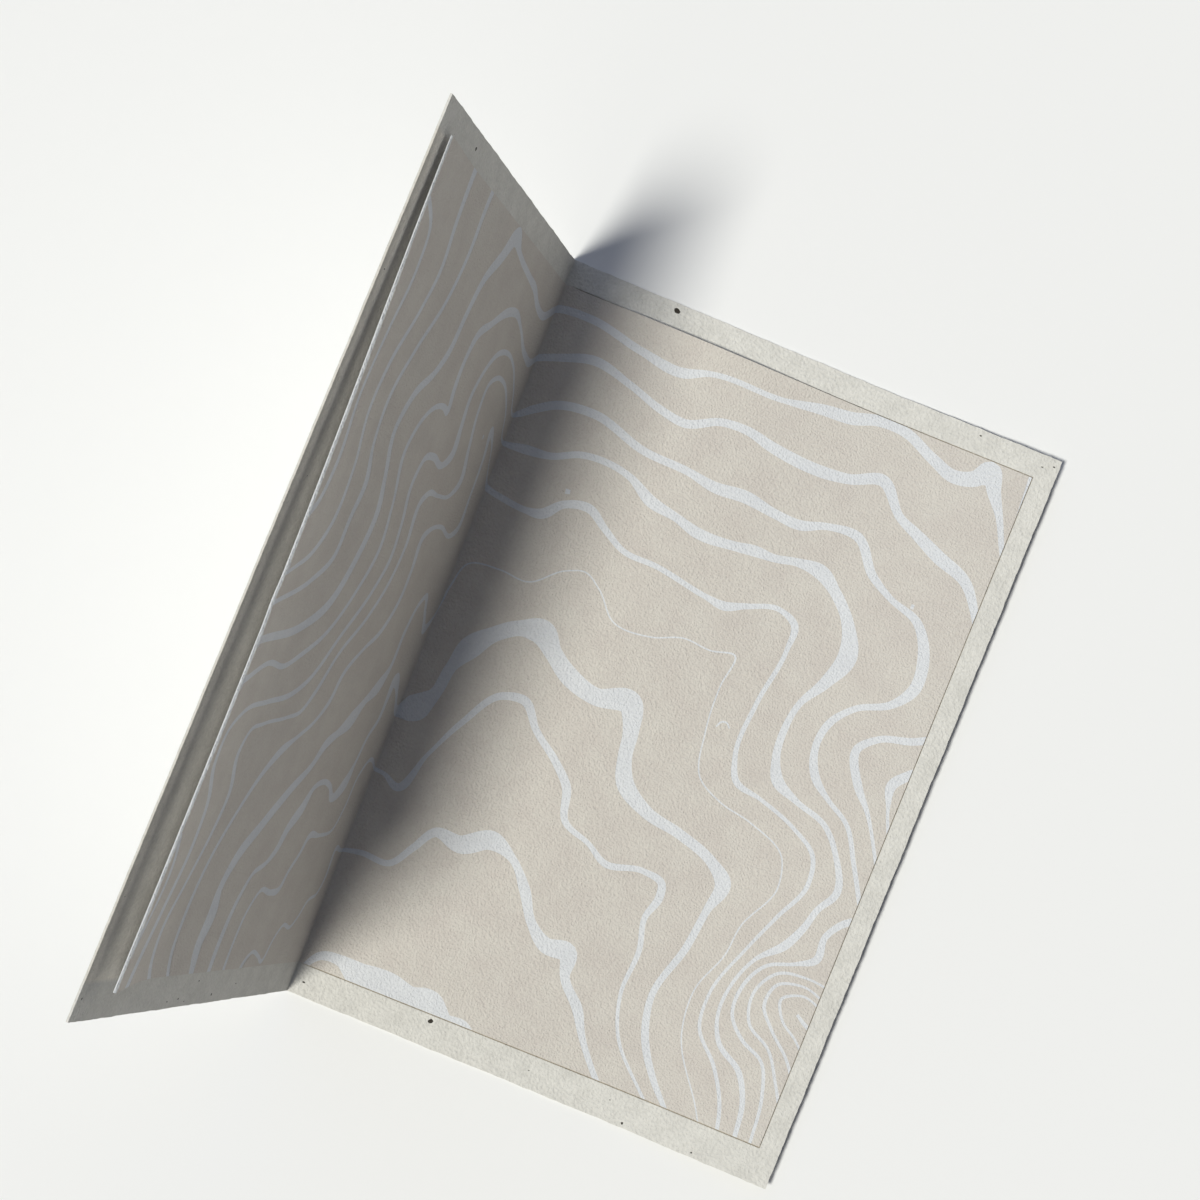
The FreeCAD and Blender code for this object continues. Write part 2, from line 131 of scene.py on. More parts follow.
# Curves of the contour lines
LINE_STEP = 0.8
BEND_STEPS = 10               # a side's point is held against this many points of the curve each way
BEND_SHARE = 0.48             # and it may come no closer to one than this share of the width
MERGE_DISTANCE = 1e-5         # points of the print that lie closer than this become one

# The front page's lines are moved from where they were placed, in a parabola along the page
PRINT_MIDDLE = 6.0
PRINT_REACH = 92.0
PRINT_RISE = 1.9              # upwards, and more with this slope away from the fold
PRINT_RISE_SLOPE = 0.018
PRINT_PULL = 2.4              # towards the fold, most at this place and over this width
PRINT_PULL_PLACE = 12.0
PRINT_PULL_WIDTH = 18.0
SETTLING_ROUNDS = 20

# Contour map, as in the frame: bare lines across the ink, each run smoothly through points of
# (across from the fold, up from the bottom edge, width of the line)
CONTOUR_LINES = (
    # Lines that cross the fold, from the top one down
    ((-126, 74, 1.4), (-110, 77.5, 1.8), (-91, 82, 2.2), (-79, 89.5, 3), (-74.5, 99, 3), (-73, 111, 3),
     (-77, 118, 2.2), (-82.8, 128, 2.4), (-80, 136.5, 2.6), (-72, 144, 2.4), (-68.5, 149.5, 2.8),
     (-67, 159, 2.6), (-64.5, 168.5, 3), (-58.5, 176, 4), (-53.5, 182.5, 5), (-47.5, 180.5, 2),
     (-33, 178.3, 1.8), (-25, 177.3, 2.2), (-18, 174.8, 2), (-10, 174.2, 2.2), (-3, 177.5, 2.4),
     (0, 179, 2), (9, 180, 2), (23, 177.5, 2), (35, 176.5, 2.6), (40, 178.5, 1.6), (60, 179.8, 1.4),
     (70, 181.5, 2.8), (77, 182.3, 3.2), (83, 184.2, 2.8), (90, 184.2, 2.6), (99, 180.5, 2.8),
     (105, 178.5, 3.4), (110, 180, 4), (112.7, 183.2, 4.8), (115.5, 178.5, 3.4), (118.5, 174, 2),
     (122.5, 166, 1.4), (127, 158, 1.4)),
    ((-126, 62, 1.4), (-110, 69.5, 1.5), (-101, 73.2, 1.3), (-92, 73.3, 1.3), (-84, 76.8, 1.5),
     (-74, 82.8, 1.5), (-66, 93, 1.6), (-61.7, 104, 2), (-65, 114, 1.5), (-71, 126, 2), (-69, 132, 1.7),
     (-62.5, 137.7, 1.5), (-57, 139, 1.6), (-53, 138.8, 2.2), (-54.5, 143.5, 2.6), (-55.3, 151, 2.4),
     (-53.5, 157.5, 2.8), (-47, 162, 2.2), (-38, 167.5, 2.6), (-31, 169, 2), (-24, 167.2, 1.2),
     (-14, 163.3, 1.8), (-6, 163, 2.2), (0, 166, 1.8), (6, 168.5, 2), (13, 170.8, 2.4), (24, 168.7, 1.8),
     (33, 166, 2), (39.5, 165.2, 2.2), (48, 169, 2), (54, 169.5, 2.2), (62, 168, 2.8), (76, 167.3, 3),
     (82, 168.2, 2.6), (89.5, 171, 3), (97, 164, 2.2), (102, 161.8, 2.8), (109, 158.6, 3.4),
     (117, 155.5, 2.8), (122.5, 148.5, 2), (127, 140, 2)),
    ((-105.8, 1, 1.8), (-106, 9, 1.8), (-104, 22, 1.6), (-102, 35, 1.6), (-103.3, 44, 1.6),
     (-108.5, 53, 1.5), (-108.3, 59, 1.3), (-104, 62.8, 1.2), (-93, 65.5, 1.2), (-80, 68.5, 1.5),
     (-73.5, 72, 1.6), (-64, 83.5, 1.6), (-55, 95, 1.7), (-51.7, 103, 2), (-53.5, 111, 1.8),
     (-57.5, 120.5, 2), (-55.5, 126.8, 2), (-50, 128.2, 1.8), (-42, 127.7, 1.8), (-37.5, 131.5, 3.4),
     (-39, 138, 2.6), (-40.7, 145, 2.2), (-38.5, 152, 1.8), (-34, 157.5, 1.8), (-24, 160, 1.2),
     (-18, 158.5, 1), (-10, 153.8, 1), (-3, 150.5, 1), (0, 151, 1.4), (4, 154, 2), (9, 157.2, 2.2),
     (18, 158.7, 2.2), (33, 155, 2), (45, 154.5, 2), (52, 153.5, 2.8), (60, 154.2, 3.2), (68, 153.2, 2.4),
     (75, 153, 2.6), (81, 155.2, 1.8), (89, 155.8, 2.4), (96, 148.2, 2.2), (102, 144.7, 1.6),
     (110, 141.8, 2.2), (115, 133.5, 3), (115.5, 126, 3), (112, 120.8, 2), (104, 116.3, 1.6),
     (99.5, 110.5, 1.9), (98.6, 104.5, 1.8), (101.5, 97, 2.2), (106, 93.4, 1.3), (112.5, 89.5, 1.2),
     (118, 81, 1.2), (123, 72.5, 1.2), (127, 66, 1.2)),
    ((-91.5, 2, 1.6), (-95, 6.5, 1.6), (-98.7, 12.5, 1.4), (-99.8, 18, 1.4), (-97, 28, 1.3),
     (-94, 38, 1.5), (-93.3, 46, 1.7), (-97.5, 55, 1.6), (-96, 59, 1.2), (-90, 61, 0.9), (-77, 63.5, 0.9),
     (-70, 65.5, 1.3), (-66, 70, 1.8), (-61, 79, 1.5), (-51, 89.5, 1.5), (-46, 98, 1.7), (-44.5, 107, 1.8),
     (-46.3, 118, 2.4), (-43, 120.6, 1.8), (-36, 121.3, 1), (-28, 123, 1.4), (-24.3, 127, 2.6),
     (-27.5, 135, 1.9), (-31.3, 144.5, 1.7), (-31.3, 150.5, 1.7), (-27, 153.4, 1.4), (-20.5, 153.7, 1.2),
     (-10, 148.5, 1), (-3, 143.7, 1), (0, 143.5, 1.2), (6, 144.2, 2.4), (12, 145, 1.8), (19, 148.2, 1.7),
     (32, 147.8, 1.8), (39, 144.2, 3), (46, 143, 2.2), (52, 141.5, 2.8), (62, 142, 2.4), (67, 142.8, 2.8),
     (72, 143, 2), (78, 144.3, 2.2), (84, 144.2, 3.8), (89, 141, 2.8), (95, 134.5, 3.2), (97.6, 127.5, 4.8),
     (95, 119.5, 3), (91, 112, 1.6), (90, 105, 1.8), (91, 97, 2.2), (93, 93, 3), (99, 90, 1.6),
     (108, 87, 1.4), (113, 81.5, 1.4), (116.7, 72.5, 1.9), (114, 67.5, 1.6), (112.5, 62, 1.8),
     (110, 56.5, 2.2), (104.5, 50.5, 1), (101.3, 42, 0.9), (101, 35, 0.9), (104, 28, 1.3), (111, 23.3, 1.5),
     (114.5, 17, 1.4), (116, 8.5, 1.2), (116.5, 1, 1.2)),
    ((-81, 1, 1.3), (-85, 6.5, 1.4), (-89, 13, 1.5), (-90.2, 21, 1.6), (-89, 32, 1.5), (-84.5, 42, 1.5),
     (-78, 51.5, 2), (-73, 56, 2.6), (-66, 59.8, 1.3), (-58, 64.5, 1.3), (-53.8, 69.5, 2), (-52.5, 75, 1.9),
     (-45.5, 82, 1.3), (-38, 87.5, 1.8), (-33.7, 96, 1.8), (-33.7, 103, 1.8), (-34.8, 111.2, 2.4),
     (-31, 114, 1.4), (-25, 115.5, 1.2), (-17, 114.7, 1.4), (-12.3, 117.5, 2.4), (-12.7, 126, 1.6),
     (-14, 136, 1.8), (-16, 142.3, 2.4), (-11, 139.5, 1.2), (-5, 135, 0.9), (0, 132, 1.6), (6, 130.8, 1.6),
     (11, 130.4, 1.6), (15, 131, 2.6), (19.5, 135.3, 2), (25.5, 136.8, 2.3), (31, 133.6, 1.8),
     (37, 130.4, 1.5), (46, 130, 1.4), (60, 127.8, 1.4), (65, 127.4, 2.3), (70, 129.4, 1.5),
     (78, 131.8, 1.3), (82.7, 129.8, 1.9), (83.3, 123, 1.2), (81.3, 108, 1.2), (81.4, 94, 1.3),
     (83.8, 88.8, 1.7), (91, 87, 1), (101, 83.6, 1), (108, 79, 1.2), (109.5, 72, 1.2), (105.5, 62, 1),
     (101.5, 52, 0.8), (97.2, 38, 0.8), (98, 30, 0.9), (105, 22, 1), (110, 13, 1), (111.5, 7, 1),
     (112, 1, 1)),
    ((-71, 1, 2), (-72.5, 7.5, 2.6), (-75, 14.5, 4.2), (-74.4, 20, 5.2), (-75.8, 26, 3.2),
     (-73.5, 32.5, 3.8),
     (-66, 40, 3.4), (-56, 48.8, 3), (-48.3, 54.8, 2.4), (-45, 59.5, 3.2), (-40, 62.5, 2.6),
     (-34, 66.5, 4.8), (-29.5, 71.5, 2.6), (-24.5, 75.7, 4.2), (-21.8, 80, 2.2), (-21.3, 90, 1.8),
     (-19, 97, 1.6), (-16.3, 99.3, 1.8), (-12, 95.5, 1.6), (-7, 92.7, 2.6), (-3, 95.5, 1.8), (0, 100, 0.7),
     (1, 106, 0.5), (3, 112.8, 0.4), (11, 114.5, 0.4), (18, 114.3, 0.4), (26, 120.5, 0.4), (30.5, 122, 0.4),
     (35, 119.5, 0.4), (41.5, 113.2, 0.4), (51, 113.4, 0.4), (59, 116.3, 0.4), (66, 116, 0.4),
     (72, 117.2, 0.5), (71.5, 109, 0.4), (72.3, 97, 0.4), (75.5, 86, 0.4), (82, 82.6, 0.4), (91, 80.7, 0.4),
     (101, 76, 0.4), (103, 69, 0.4), (98, 56, 0.4), (97.3, 49, 0.4), (93.5, 38, 0.4), (94.5, 27, 0.4),
     (105, 10, 0.4), (110, 1, 0.4)),
    ((-62, 1, 2.2), (-62, 7, 2.2), (-62.7, 13, 2.4), (-61.7, 24, 2), (-59, 29.3, 1.5), (-53, 32, 1.6),
     (-49.7, 35, 2.6), (-47.7, 40, 3.4), (-43.5, 44.7, 4), (-41, 49.5, 2), (-36, 51.3, 1.5),
     (-30, 50.4, 1.4), (-26, 48, 2.2), (-21, 51.5, 4.2), (-19.3, 57, 1.6), (-17.7, 64, 1.5), (-15, 68, 1.8),
     (-14.7, 73, 2.4), (-14.5, 78, 3.8), (-8, 75.5, 1.8), (-2, 73, 2.6), (4, 75.5, 6.5), (7, 80, 3.2),
     (8.5, 88, 2.8), (11, 94, 5.5), (15.5, 99.5, 3.8), (21, 103.3, 4), (26, 104.3, 6.4), (30.5, 100.7, 4.4),
     (36, 97, 4.8), (44, 94.8, 4.4), (52.5, 96.5, 6), (55.3, 90, 4), (56.2, 84, 3.6), (58.5, 78.2, 4.4),
     (66, 73.5, 3.2), (76, 71.5, 2.6), (86, 68, 2.8), (90.2, 64.5, 4), (89, 57, 2), (87.8, 47, 1.9),
     (84.3, 32, 1.7), (86.5, 22.5, 2), (92.5, 13, 1.7), (98, 7, 1.2), (102, 2, 1.2)),
    ((-52, 1, 1.6), (-52.8, 7, 1.6), (-53.5, 13, 1.4), (-52.3, 22, 1.3), (-49.5, 25.5, 1.2),
     (-42, 25.2, 1.5),
     (-37, 26, 1.9), (-35.5, 30, 1.5), (-32.5, 34.5, 1.5), (-31, 38.3, 2), (-24, 38.9, 1), (-16, 40.8, 1),
     (-13.9, 46, 1), (-13, 54, 1.1), (-9.5, 58.2, 1.2), (-5, 59.2, 1.2), (-1, 58, 1), (3, 57.6, 1.1),
     (6.5, 55.8, 2), (11, 66, 1), (16, 76.5, 1.5), (23, 86.3, 1.9), (28.3, 87.2, 2.3), (33.5, 81.7, 1.8),
     (41, 76.2, 2), (45.5, 71.8, 2.3), (48.5, 63.7, 1.7), (56, 60.8, 1.3), (61, 58, 1.7), (71, 59.8, 1.5),
     (76.3, 58.6, 2), (77, 55.5, 2.1), (75.5, 49.5, 1.5), (77.2, 42, 1.4), (77, 30, 1), (80, 20.5, 0.9),
     (90.5, 9, 0.8), (96, 4, 0.8)),
    ((-42, 2, 1.8), (-41.3, 9, 1.7), (-38.5, 11.2, 1.1), (-33, 10.3, 1), (-29, 8.8, 1.2), (-26.5, 14.5, 1),
     (-24, 17.2, 1), (-18, 16.8, 1), (-15.5, 19, 1), (-13, 23, 1), (-8, 25, 1), (-6.3, 28.5, 1.2),
     (-6.8, 36.5, 1.6), (-2, 36.5, 1), (5, 37.8, 1.4), (12, 38, 1.6), (16, 43.5, 1.8), (20, 49.3, 2.4),
     (26.5, 48.8, 4.4), (33.5, 52.6, 4.8), (40, 50.3, 2), (45.5, 44.5, 2.8), (50, 37.8, 2.4), (55.5, 34, 4),
     (61, 34.3, 4.8), (62.7, 28.5, 2.4), (68.5, 22.3, 2.7), (72, 16.5, 1.8), (78.5, 8.5, 1.5), (84, 3, 1.4)),
    # Lines of the back page only
    ((1, 6, 1), (5, 11, 2.2), (10, 11.5, 3), (15, 9.8, 6.6), (23, 9.5, 8), (29, 8.8, 7), (34, 9.2, 8),
     (38, 7, 5), (44, 8, 2.2), (48, 5, 1.5)),
    ((127, 118, 2), (120, 114.3, 1.9), (112, 111.5, 1.7), (108.2, 107.5, 2.1), (111.5, 99.5, 2.2),
     (116, 94.3, 1.2), (123, 83, 0.9), (127, 76, 0.9)),
    ((127, 110, 2), (122, 106, 2.4), (119.3, 102.5, 2.6), (120.5, 97, 1), (126, 85, 0.8)),
    ((127, 70, 2), (121, 66.5, 1.8), (118.2, 62, 1.6), (118.3, 56, 2), (114, 53.2, 1), (107.5, 50, 0.9),
     (104, 43, 1), (104.3, 36, 0.9), (109, 31, 1), (115, 28, 0.9), (118.5, 20, 0.9), (120, 9, 0.8),
     (120.5, 1, 0.8)),
    ((127, 50, 0.6), (118, 51, 0.6), (111, 49.5, 0.8), (107.2, 43, 0.8), (109, 35.5, 0.8),
     (115.5, 31.5, 0.8),
     (120.5, 24, 0.8), (126, 14, 0.8)),
    ((127, 46, 0.6), (117.5, 48.8, 0.6), (111.7, 46.7, 0.8), (110.7, 41, 0.9), (114.5, 36.3, 0.8),
     (120.5, 31, 0.8), (126, 23, 0.8)),
    ((127, 44, 0.6), (118, 46.5, 0.6), (114, 44, 0.8), (116, 39.5, 0.7), (121, 36, 0.6), (126, 31, 0.6)),
    ((127, 38.5, 0.8), (121.5, 40.5, 1), (119, 42, 0.8)),
    ((74.2, 99.3, 0.4), (75.2, 101, 0.5), (76.5, 101.1, 0.5), (77.4, 100.1, 0.4)),
    # Lines of the front page only
    ((-98.5, 190, 3), (-98.3, 184, 2.8), (-97, 173, 2.2), (-94.6, 162, 1.9), (-97, 152, 1.6),
     (-102.5, 138, 1.8), (-103.2, 128, 1.6), (-98.3, 116, 1.5), (-97.7, 104, 1.8), (-103, 96, 1.5),
     (-109, 92.5, 1.1), (-126, 84, 1)),
    ((-82.2, 190, 2.8), (-82.2, 180, 2.4), (-81.3, 170, 2), (-83.5, 157.5, 1.8), (-90, 145, 1.6),
     (-94.3, 132, 1.8), (-92.3, 122.5, 1.6), (-87.4, 114.3, 2.6), (-88.2, 107, 2.2), (-88.5, 98, 2),
     (-96, 91.7, 1.5), (-110, 85.5, 1.2), (-126, 80, 1)),
    ((-126, 173, 1.8), (-118, 170.5, 1.7), (-111, 166.5, 1.6), (-109, 158, 1.6), (-111, 143, 1.4),
     (-112, 129, 1.4), (-109.2, 114, 1.8), (-111, 105.5, 1.8), (-118, 100, 1.4), (-126, 96, 1.4)),
    ((-126, 50, 1), (-113, 42, 1), (-108.3, 32, 1.2), (-110, 18, 1), (-113, 6, 1), (-114, 1, 1)),
    # Dots
    ((18.6, 138.5, 1.3), (19.8, 138.7, 1.1)),
    ((107.2, 144.9, 1.2), (108, 144.9, 1.2)),
    ((-21, 139.6, 1.2), (-20, 139.7, 1)),
)

# Camera, in millimetres
CAMERA_PLACE = (21.94 + CREASE_X, 2.30, 570.9)
CAMERA_AIM = (35.49 + CREASE_X, 21.07, 0.6)
CAMERA_ROLL = 22.53           # degrees that the picture's upright leans from +Y towards -X
CAMERA_LENS = 69.8
SENSOR = 36.0

# Light
SUN_SLOPE = (0.40, 0.31)      # how far a shadow runs for each millimetre of height
SUN_SPREAD = 12.5             # degrees across
SUN_STRENGTH = 2.95
SUN_COLOUR = "#FFFEF6"
SKY_COLOUR = "#E6EAF2"
SKY_STRENGTH = 0.13
SKY_SIDE = (-0.50, 0.75, 0.43)   # towards the bluer part of the sky
SKY_SIDE_COLOUR = "#B0C4EE"
SKY_SIDE_STRENGTH = 0.42
SKY_SIDE_EDGE = 0.5           # cosines of the angle to it where it begins and where it is full
SKY_SIDE_FULL = 0.95

# Floor
FLOOR_SIZE = 3000.0
FLOOR_DROP = 0.02             # it lies this far under the card
FLOOR_COLOUR = "#F1F1F1"

# Shares of the board's colour, as linear values of red, green and blue: painted light under the front page,
# a darker free edge and painted shade in the pressed line
POCKET_PAINTED_LIGHT = (1.29, 1.25, 1.20)   # painted light: pale where the front page lies over the board, standing in for light bounced into the pocket under its lifted edge
FREE_EDGE_TINT = (0.93, 0.90, 0.86)   # darker over this width along the free edge
FREE_EDGE_WIDTH = 4.0
LINE_PAINTED_SHADE = (0.56, 0.50, 0.42)      # painted shade, brown, in the pressed line

# Dark flecks in the board
FLECK_COUNT = 150
FLECK_SIDES = 9
FLECK_INNER_SHARE = 0.5       # share of them on the inner face
FLECK_EDGE = 1.0              # kept this far from the board's edges
FLECK_PAGE_CLEARANCE = 0.8    # and from the page
FLECK_FOLD_CLEARANCE = 2.5
FLECK_RADIUS_SHAPE = 2.0      # radii are drawn from a gamma spread of this shape and scale
FLECK_RADIUS_SCALE = 0.13
FLECK_RADIUS_LEAST = 0.08
FLECK_PROUD = 0.02            # its face stands this far off the board, and its underside lies in it
FLECK_SUNK = 0.05
FLECK_TURN = 6.0              # radians that its first corner may be turned by
FLECK_STRETCH = (0.5, 1.0)    # its length along the fold, as a share of that across it
FLECK_REACH = (0.7, 1.15)     # its corners' distances from its middle, as shares of the radius
# The largest ones, as (across from the fold, along it, radius)
NAMED_FLECKS = (
    (27.7, 94.2, 0.78), (126.6, 94.0, 0.32), (123.9, 92.9, 0.26), (3.2, -92.6, 0.38),
    (89.3, -95.0, 0.32), (84.4, -91.3, 0.20), (107.8, -95.0, 0.22), (-53.6, -94.1, 0.32),
    (-73.5, -94.1, 0.30), (-79.5, -94.4, 0.30), (-69.4, -94.9, 0.20), (-65.0, -90.4, 0.30),
    (-102.5, 92.7, 0.50), (-40.0, -92.2, 0.25), (-125.8, 60.0, 0.25), (63.0, -92.0, 0.20),
)

random = np.random.default_rng(7)


def linear(hex_colour):
    """The linear colour of an sRGB hex value."""
    channels = [int(hex_colour[k:k + 2], 16) / 255 for k in (1, 3, 5)]
    return [c / 12.92 if c <= 0.04045 else ((c + 0.055) / 1.055) ** 2.4 for c in channels] + [1.0]


def smooth(t):
    """A ramp that eases from 0 to 1 as t goes from 0 to 1."""
    t = np.clip(t, 0, 1)
    return t * t * (3 - 2 * t)


def band_outline(points):
    """The closed outline of a contour line.

    It is built on a curve, a cubic between each two points, whose slope at a point is the mean of the slopes
    on its two sides, the nearer one counting more. Each side of the outline is the curve moved
    sideways by half the width, without the points that a tight bend carries into the line."""
    knots = np.array(points, dtype=float)
    spans = np.hypot(*np.diff(knots[:, :2], axis=0).T)
    rates = np.diff(knots, axis=0) / spans[:, None]
    before, after = spans[:-1, None], spans[1:, None]
    inner = (rates[:-1] * after + rates[1:] * before) / (before + after)
    slopes = np.concatenate([rates[:1], inner, rates[-1:]])
    line = []
    for k, span in enumerate(spans):
        t = np.arange(0, 1, 1 / max(2, math.ceil(span / LINE_STEP)))[:, None]
        leave, arrive = t * (1 - t) ** 2 * span, t * t * (t - 1) * span
        part = knots[k] + (knots[k + 1] - knots[k]) * smooth(t)
        part = part + leave * slopes[k] + arrive * slopes[k + 1]
        part[:, 2] = np.clip(part[:, 2], *sorted((knots[k, 2], knots[k + 1, 2])))
        line.append(part)
    line = np.concatenate(line + [knots[-1:]])
    ahead = np.gradient(line[:, :2], axis=0)
    ahead /= np.hypot(*ahead.T)[:, None]
    sideways = ahead[:, ::-1] * (-0.5, 0.5) * line[:, 2:]
    number = np.arange(len(line))
    elsewhere = np.abs(number[:, None] - number) > BEND_STEPS
    sides = []
    for spots in (line[:, :2] + sideways, line[:, :2] - sideways):
        apart = np.hypot(*(spots[:, None] - line[None, :, :2]).transpose(2, 0, 1))
        clear = elsewhere | (apart > BEND_SHARE * line[:, 2])
        sides.append(spots[clear.all(axis=1)])
    return np.concatenate([sides[0], sides[1][::-1]])


def inside(outline, points):
    """Which points lie inside a closed outline: an odd number of its edges is to their right."""
    result = np.zeros(len(points), dtype=bool)
    low, high = outline.min(axis=0), outline.max(axis=0)
    near = np.flatnonzero(((points >= low) & (points <= high)).all(axis=1))
    x, y = points[near, 0][:, None], points[near, 1][:, None]
    x0, y0 = outline.T
    x1, y1 = np.roll(outline, -1, axis=0).T
    crosses = (y0 > y) != (y1 > y)
    with np.errstate(divide="ignore", invalid="ignore"):
        meets = x0 + (y - y0) * (x1 - x0) / (y1 - y0)
    result[near] = (crosses & (x < meets)).sum(axis=1) % 2 == 1
    return result


def fold_place(s, y, height):
    """Points of the folded sheet in metres: s millimetres from the fold (the front panel's are
    negative), y along the fold, height off the board's outer face.

    Within half a crease of the fold a point turns about the crease axis, and past it the point runs
    on straight, along the table or up the leaning front panel. The fold lies askew and the front
    panel is twisted, both in proportion to y. The back panel's free edge rises by the square of a
    smooth ramp. The back page's bottom edge is a little off square: points near it are moved along
    the sheet, in falling shares to both sides, and the board's own edge stays."""
    from_edge = (HALF_LENGTH + y) / LINER_BOTTOM_MARGIN
    rise = np.minimum(from_edge, 1 - (from_edge - 1) * LINER_BOTTOM_MARGIN / PAGE_RISE_FADE)
    y = y + PAGE_RISE * np.clip(rise, 0, 1) * np.clip(s / PAGE_WIDTH, 0, 1)
    along = y / HALF_LENGTH
    bend = np.radians(STANDING_ANGLE + FOLD_TWIST * along)
    turn = np.clip((CREASE_HALF - s) / (2 * CREASE_HALF), 0, 1) * bend
    radius = CREASE_HEIGHT - height
    back_run = np.maximum(s - CREASE_HALF, 0)
    front_run = np.maximum(-s - CREASE_HALF, 0)
    skew = -FOLD_SKEW * along * np.clip(1 - s / PANEL_WIDTH, 0, 1)
    x = CREASE_X + skew + back_run - radius * np.sin(turn) - front_run * np.cos(bend)
    z = CREASE_HEIGHT - radius * np.cos(turn) + front_run * np.sin(bend)
    z = z + BACK_CURL * smooth((s - BACK_CURL_START) / (PANEL_WIDTH - BACK_CURL_START)) ** 2
    return np.stack([x, y + 0 * x, z], axis=-1) * MM


def edge_lift(y):
    """How far the front page's free edge stands off the board: PAGE_LIFT_TOP at its top end, and
    down from there 1 less a falling exponential of the power of the distance, times PAGE_LIFT."""
    below_top = np.maximum(PAGE_LIFT_START - y, 0)
    return PAGE_LIFT * (1 - np.exp(-(below_top / PAGE_LIFT_LENGTH) ** PAGE_LIFT_POWER)) + PAGE_LIFT_TOP


def page_share(s):
    """The power of the way across the part of the front page that has come away: 1 at its free
    edge, 0 from PAGE_CURL inwards."""
    return np.clip(1 - (PAGE_WIDTH + s) / PAGE_CURL, 0, 1) ** PAGE_LIFT_POWER


def liner_gap(s, y):
    """How far the liner stands off the board: the free edge's lift, less its dent, times the page's
    share of it, less the rolled rim, and a bell-shaped gap at the back page's top edge."""
    lift = edge_lift(y)
    dent = RIM_DENT_DEPTH * np.exp(-((y - RIM_DENT_PLACE) / RIM_DENT_WIDTH) ** 2)
    roll = np.clip(1 - (PAGE_WIDTH + s) / RIM_ROLL_WIDTH, 0, 1) ** 2
    front = (lift - dent) * page_share(s) - RIM_ROLL_DEPTH * roll * np.minimum(1, lift / RIM_ROLL_FULL_LIFT)
    top = np.exp(-((s - TOP_GAP_PLACE) / TOP_GAP_WIDTH) ** 2 - (PAGE_HIGH - y) / TOP_GAP_FADE)
    return np.maximum(front, 0) + TOP_GAP * top * (s > 0) * smooth(s / TOP_GAP_START)


def seen_place(outline):
    """An outline, with its points on the front page moved to where the view from above shows them.

    They were placed on a flat page, too low and too far from the fold by a parabola along the
    page that is 1 at PRINT_MIDDLE. Past that, each point of the part that has come away is moved
    outwards by its lift times the slope of the view. The lift is the one at the place that it has
    moved to, so the move is worked out again until it settles."""
    s, y = outline.T
    share = np.clip(1 - ((y - PRINT_MIDDLE) / PRINT_REACH) ** 2, 0, 1) * smooth(-s / PRINT_PULL_PLACE)
    y = y + (PRINT_RISE - PRINT_RISE_SLOPE * s) * share
    s = s + PRINT_PULL * share * np.exp(-((s + PRINT_PULL_PLACE) / PRINT_PULL_WIDTH) ** 2)
    moved = s
    for _ in range(SETTLING_ROUNDS):
        moved = s - VIEW_SLOPE * edge_lift(y) * page_share(moved)
    return np.stack([moved, y], axis=1)


def spaced(*stretches):
    """Rising values over several stretches, each given as (start, end, spacing)."""
    parts = [np.linspace(a, b, max(2, round((b - a) / gap) + 1)) for a, b, gap in stretches]
    return np.unique(np.concatenate(parts).round(6))


def grid_triangles(columns, rows):
    """The triangles of a grid whose points are numbered row by row, facing up."""
    first = (np.arange(rows - 1)[:, None] * columns + np.arange(columns - 1)).ravel()
    right, above = first + 1, first + columns
    lower = np.stack([first, right, above + 1], axis=1)
    upper = np.stack([first, above + 1, above], axis=1)
    return np.concatenate([lower, upper])


def closed_sheet(name, top, bottom, triangles):
    """A closed sheet: the triangles on the top points, the same ones turned over on the bottom
    points, and a wall of two triangles on each edge that only one triangle has."""
    count = len(top)
    edges = np.concatenate([triangles[:, [0, 1]], triangles[:, [1, 2]], triangles[:, [2, 0]]])
    keys = np.sort(edges, axis=1)
    keys = keys[:, 0] * count + keys[:, 1]
    _, index, uses = np.unique(keys, return_index=True, return_counts=True)
    start, end = edges[index[uses == 1]].T
    walls = np.concatenate([
        np.stack([end, start, start + count], axis=1),
        np.stack([end, start + count, end + count], axis=1),
    ])
    faces = np.concatenate([triangles, triangles[:, ::-1] + count, walls])
    return piece_from(name, np.concatenate([top, bottom]), faces)


def piece_from(name, points, faces):
    """A mesh object of triangles, smooth but for its sharp edges, in place and unturned."""
    used, faces = np.unique(faces, return_inverse=True)
    points, faces = points[used], faces.reshape(-1, 3)
    mesh = bpy.data.meshes.new(name)
    mesh.vertices.add(len(points))
    mesh.vertices.foreach_set("co", points.astype(np.float32).ravel())
    mesh.loops.add(faces.size)
    mesh.loops.foreach_set("vertex_index", faces.astype(np.int32).ravel())
    mesh.polygons.add(len(faces))
    mesh.polygons.foreach_set("loop_start", np.arange(0, faces.size, 3, dtype=np.int32))
    mesh.polygons.foreach_set("use_smooth", np.ones(len(faces), dtype=bool))
    mesh.update(calc_edges=True)
    mesh.validate()
    mesh.set_sharp_from_angle(angle=math.radians(SHARP_ANGLE))
    piece = bpy.data.objects.new(name, mesh)
    bpy.context.scene.collection.objects.link(piece)
    return piece


def ragged(distance, along, seed):
    """A small shift of a cut edge: a sum of sines along it whose starts come from the seed, falling
    exponentially with the distance from the edge."""
    starts = np.random.default_rng(seed).uniform(0, 2 * math.pi, len(RAGGED_LENGTHS))
    waves = zip(RAGGED_SIZES, RAGGED_LENGTHS, starts)
    shift = sum(size * np.sin(2 * math.pi * along / length + start) for size, length, start in waves)
    return shift * np.exp(-distance / RAGGED_REACH)


def page_distance(s, y):
    """How far a point of the sheet lies outside the page's outline, negative inside it."""
    return np.maximum(np.abs(s) - PAGE_WIDTH, np.maximum(PAGE_LOW - y, y - PAGE_HIGH))


